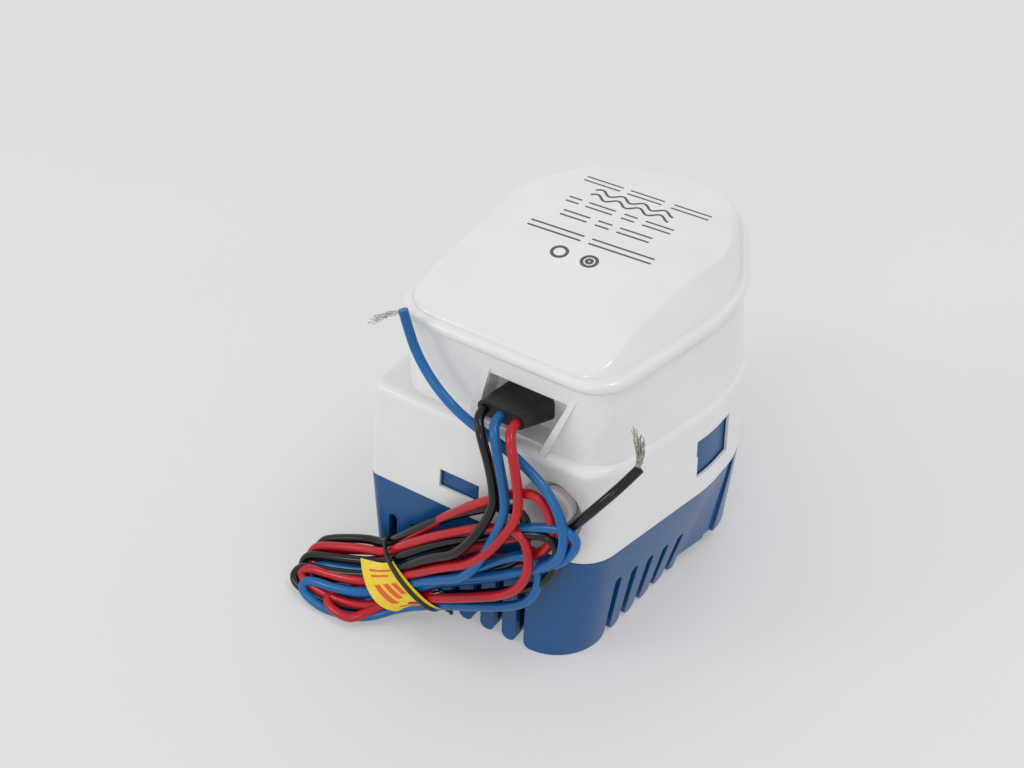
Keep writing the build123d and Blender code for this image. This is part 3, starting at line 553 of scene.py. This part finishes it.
def bare_end(name, spots, count, towards, flare, seed):
    """Fine tinned strands that leave the end of a lead, turn towards a side and fray."""
    chance = random.Random(seed)
    end, before = spots[-1] / MM, spots[-4] / MM
    ahead = (end - before).normalized()
    side = ahead.orthogonal().normalized()
    other = ahead.cross(side)
    curve = new_curve(name, STRAND_R, 2)
    for i in range(count):
        angle = 2 * math.pi * i / count * STRAND_ROUNDS
        ring = math.sqrt((i + 0.5) / count)
        far = chance.uniform(0.7, 1.05)
        lean = side * chance.uniform(-flare, flare) + other * chance.uniform(-flare, flare)
        points = []
        for k in range(STRAND_STEPS + 1):
            t = k / STRAND_STEPS * far
            turn = angle + STRAND_TWIST * t
            point = end + ahead * (min(3 * t, 1.5) - STRAND_ROOT) + Vector(towards) * t ** 1.3
            point += (side * math.cos(turn) + other * math.sin(turn)) * ring * (1 - 0.3 * t) + lean * t * t
            if k > 2:
                point += Vector([chance.uniform(-STRAND_STRAY, STRAND_STRAY) for _ in range(3)])
            points.append(point)
        add_line(curve, points)
    return placed(name, curve, "tinned_strands")


def around_hank(row, angle, lift):
    """Point outside the hank's strands: angle 0 is the upper edge, 90 degrees the front."""
    centre, across, out = hank_rows(row)
    a = math.radians(angle)
    grown = LEAD_R + lift
    return (centre + across * (math.cos(a) * (OUTER + grown / across.length))
            + out * (math.sin(a) * (OUTER + grown / out.length)))


# Tie: angle where its turn starts, degrees that it goes round, and its height over the strands
TIE_START = 200
TIE_SWEEP = 345
TIE_STEPS = 26
TIE_LIFT = 0.9
# Rows that its middle lies to the right of row 3, and that its top leans to the left from there
TIE_SHIFT = 0.22
TIE_LEAN = 0.3
# Its twisted ends: way that they point, gap before the twist, length and angle of a step, radius
END_ALONG = (1, -0.2, -0.1)
END_GAP = 0.3
END_STEP = 0.75
END_TURN = 1.25
END_R = 0.7
END_POINTS = 7


def add_tie():
    """Coated wire tie: one turn around the hank, and its two ends twisted together."""
    angles = [TIE_START - TIE_SWEEP * k / TIE_STEPS for k in range(TIE_STEPS + 1)]
    loop = [around_hank(TIE + TIE_SHIFT - TIE_LEAN * math.cos(math.radians(a)), a, TIE_LIFT)
            for a in angles]
    knot, away = loop[0], (loop[0] - hank_rows(TIE)[0]).normalized()
    along = Vector(END_ALONG).normalized()
    side = away.cross(along)
    ends = []
    for phase in (0, math.pi):
        turns = [phase + END_TURN * k for k in range(END_POINTS)]
        ends.append([knot + along * (END_GAP + END_STEP * k) + away * (END_R * math.cos(turn))
                     + side * (END_R * math.sin(turn)) for k, turn in enumerate(turns)])
    points = ends[0][::-1] + loop + ends[1]
    return tube("tie", points, TIE_R, "tie_black")


def flat_piece(name, quads, slot):
    """Mesh from lists of four points in millimetres."""
    mesh = bpy.data.meshes.new(name)
    points = [tuple(mm(p)) for quad in quads for p in quad]
    mesh.from_pydata(points, [], [range(i, i + 4) for i in range(0, len(points), 4)])
    return placed(name, mesh, slot)


def patch(place, u0, u1, v0, v1, across, along):
    """Quads that cover a rectangle of the surface that place(u, v) gives."""
    quads = []
    for i in range(across):
        for k in range(along):
            ua, ub = (u0 + (u1 - u0) * t / across for t in (i, i + 1))
            va, vb = (v0 + (v1 - v0) * t / along for t in (k, k + 1))
            quads.append([place(ua, va), place(ub, va), place(ub, vb), place(ua, vb)])
    return quads


# Tag: first and last row and angle around the hank, quads each way, height over the strands, thickness
TAG_ROWS = (2.05, 3.15)
TAG_ANGLES = (66, 178)
TAG_QUADS = (16, 22)
TAG_LIFT = 0.15
TAG_THICK = 0.12
# Rows that it leans to the right for each degree past 60
TAG_LEAN = 0.00625
# Marks on it: height over the strands, then first and last row and angle, and quads each way
MARK_LIFT = 0.36
TAG_MARKS = [
    (2.28, 2.92, 78, 81, 8, 1), (2.28, 2.76, 86, 89, 8, 1),
    (2.26, 2.39, 100, 138, 2, 8), (2.47, 2.60, 100, 129, 2, 8), (2.68, 2.81, 100, 120, 2, 8),
    (2.26, 2.82, 148, 151.5, 8, 1), (2.26, 2.62, 158, 161.5, 8, 1),
]


def add_tag():
    """Vinyl label around the front of the hank, with generic marks."""
    def sheet(row, angle, lift=TAG_LIFT):
        return around_hank(row + TAG_LEAN * (angle - 60), angle, lift)

    def ink(row, angle):
        return sheet(row, angle, MARK_LIFT)

    label = flat_piece("tag", patch(sheet, *TAG_ROWS, *TAG_ANGLES, *TAG_QUADS), "tag_yellow")
    label.modifiers.new("thickness", "SOLIDIFY").thickness = TAG_THICK * MM
    marks = [quad for mark in TAG_MARKS for quad in patch(ink, *mark)]
    return [label, flat_piece("tag_marks", marks, "ink_red")]


def add_leads():
    """Adds each lead with its strands, and the tie and the tag, and hides the CAD parts that they stand for.
    """
    ends = {
        "black": dict(count=34, towards=(-1.6, 1.5, 11.5), flare=3.4, seed=3),
        "blue": dict(count=32, towards=(-11.5, -1, -8.5), flare=3.0, seed=5),
        "red": dict(count=9, towards=(4, 1, 3), flare=2.0, seed=8),
    }
    stood_for = {
        "black": ["lead_black", "tail_black", "strands_black", "wire_hank"],
        "blue": ["lead_blue", "tail_blue", "strands_blue", "wire_hank"],
        "red": ["lead_red", "wire_hank"],
    }
    tie = add_tie()
    tag = add_tag()
    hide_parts("twist_tie")
    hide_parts("hank_tag")
    for colour, end in ends.items():
        route = lead_route(colour)
        piece = tube(f"{colour}_lead", route, LEAD_R, f"wire_{colour}")
        spots = measured(route)
        tips = bare_end(f"{colour}_strands", spots, **end)
        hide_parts(*stood_for[colour])


# Print on the cap: generic marks in place of the rating

# Where its middle lies, and how many degrees it is turned
PRINT_CENTRE = (-1.5, 0.0)
PRINT_TURN = 3.7
# Height that it drops on the cap from, and its height over the cap
PRINT_FROM = 200
PRINT_LIFT = 0.04
# Pairs of lines: start and end along the row, middle across it
PAIRS = [
    (-20.5, -7.2, 16), (-4.6, 7.8, 16), (11.2, 24.6, 16),
    (-19.2, -14.6, 1.4), (-12, -2.4, 1.4), (0.8, 5.6, 1.4), (8.4, 18.4, 1.4),
    (-17, -7.4, -6.4), (-4.4, 0.6, -6.4), (3.4, 14.8, -6.4),
    (-23.4, -4.2, -16), (-1.4, 20.6, -16),
]
PAIR_GAP = 2.56
PAIR_STEP = 1.6
PAIR_WIDTH = 0.75
# Waves: middles across, start along the row, step between points, length and height of a wave
WAVE_ROWS = (7.3, 10.7)
WAVE_START = -14
WAVE_STEP = 0.7
WAVE_POINTS = 42
WAVE_LENGTH = 7.6
WAVE_HEIGHT = 1.3
WAVE_WIDTH = 0.9
# Rings: middle along the row and radius
RINGS = [(-7.4, 2.5), (3.2, 2.5), (3.2, 0.9)]
RING_ROW = -25
RING_STEP = 0.35
RING_POINTS = 19
RING_WIDTH = 1.1


def stroke(points, width):
    """Quads along a line of flat points."""
    sides = []
    for i, point in enumerate(points):
        before, after = points[max(i - 1, 0)], points[min(i + 1, len(points) - 1)]
        run = (Vector(after) - Vector(before)).normalized()
        across = Vector((-run.y, run.x)) * (width / 2)
        sides.append((Vector(point) + across, Vector(point) - across))
    return [[a[0], a[1], b[1], b[0]] for a, b in zip(sides, sides[1:])]


def print_marks():
    """Flat quads of the print: pairs of lines in place of words, waves, and two rings."""
    quads = []
    for start, stop, middle in PAIRS:
        steps = max(2, int((stop - start) / PAIR_STEP))
        for y in (middle - PAIR_GAP / 2, middle + PAIR_GAP / 2):
            places = [start + (stop - start) * i / steps for i in range(steps + 1)]
            quads += stroke([(x, y) for x in places], PAIR_WIDTH)
    runs = [WAVE_STEP * i for i in range(WAVE_POINTS)]
    for middle in WAVE_ROWS:
        quads += stroke([(WAVE_START + x, middle + WAVE_HEIGHT * math.sin(2 * math.pi * x / WAVE_LENGTH))
                         for x in runs], WAVE_WIDTH)
    angles = [RING_STEP * i for i in range(RING_POINTS)]
    for x, radius in RINGS:
        quads += stroke([(x + radius * math.cos(a), RING_ROW + radius * math.sin(a)) for a in angles],
                        RING_WIDTH)
    return quads


def add_print():
    """Lays the print on the cap's crown."""
    cap = NODES["top_cap"]
    shape = bmesh.new()
    shape.from_mesh(cap.data)
    shape.transform(cap.matrix_world)
    crown = BVHTree.FromBMesh(shape)
    turn = Matrix.Rotation(math.radians(PRINT_TURN), 2)

    def on_cap(point):
        flat = turn @ Vector(point) + Vector(PRINT_CENTRE)
        hit = crown.ray_cast(mm((flat.x, flat.y, PRINT_FROM)), Vector((0, 0, -1)))[0]
        return hit / MM + Vector((0, 0, PRINT_LIFT))

    flat_piece("cap_print", [[on_cap(p) for p in quad] for quad in print_marks()], "ink_grey")
    shape.free()


# Stage and lights, in metres

FLOOR_HALF = 3
FLOOR_DROP = 0.0002
FLOOR_COLOURS = ((0.46, 0.46, 0.462), (0.45, 0.45, 0.453))
FLOOR_GLOW = 0.29
SKY_COLOUR = (0.985, 0.99, 1.0, 1)
SKY_STRENGTH = 0.77
# Where every lamp points, and each one's place, width and height, and power
AIM = (0, 0, 0.05)
LAMPS = {
    "key": ((0.55, 0.05, 1.45), (0.34, 0.34), 2.7),
    "fill": ((-0.9, -1.0, 0.8), (0.45, 0.45), 3.0),
    "front": ((0.35, -1.4, 0.8), (0.3, 0.3), 1.5),
    "rear": ((0.2, 1.3, 1.1), (1.2, 0.6), 0.8),
}


def add_stage():
    """White floor that glows a little, so that the shadows on it stay pale."""
    floor = bpy.data.meshes.new("floor")
    corners = [(x * FLOOR_HALF, y * FLOOR_HALF, 0) for x, y in ((-1, -1), (1, -1), (1, 1), (-1, 1))]
    floor.from_pydata(corners, [], [(0, 1, 2, 3)])
    piece = bpy.data.objects.new("floor", floor)
    piece.location.z = -FLOOR_DROP
    bpy.context.scene.collection.objects.link(piece)
    material, tree, shader = new_material("paper", 0.7)
    cloud = noise(tree, coordinates(tree), 3, 3)
    paper = layered(tree, spread(tree, cloud, 0, 1), *FLOOR_COLOURS)
    tree.links.new(paper, shader.inputs["Base Color"])
    shader.inputs["Emission Color"].default_value = (1, 0.995, 0.995, 1)
    shader.inputs["Emission Strength"].default_value = FLOOR_GLOW
    floor.materials.append(material)


def add_lamp(name, place, size, power):
    """Rectangular lamp that points at the pump."""
    data = bpy.data.lights.new(name, "AREA")
    data.shape = "RECTANGLE"
    data.size, data.size_y = size
    data.energy = power
    lamp = bpy.data.objects.new(name, data)
    lamp.location = place
    lamp.rotation_euler = (Vector(AIM) - Vector(place)).to_track_quat("-Z", "Y").to_euler()
    bpy.context.scene.collection.objects.link(lamp)


def add_lights():
    """Pale, even surroundings and the lamps."""
    world = bpy.data.worlds.new("studio")
    world.use_nodes = True
    sky = world.node_tree.nodes["Background"]
    sky.inputs["Color"].default_value = SKY_COLOUR
    sky.inputs["Strength"].default_value = SKY_STRENGTH
    bpy.context.scene.world = world
    bpy.context.scene.view_settings.view_transform = "Standard"
    for name, settings in LAMPS.items():
        add_lamp(name, *settings)


add_camera()
add_leads()
add_print()
dress_nodes()
add_stage()
add_lights()
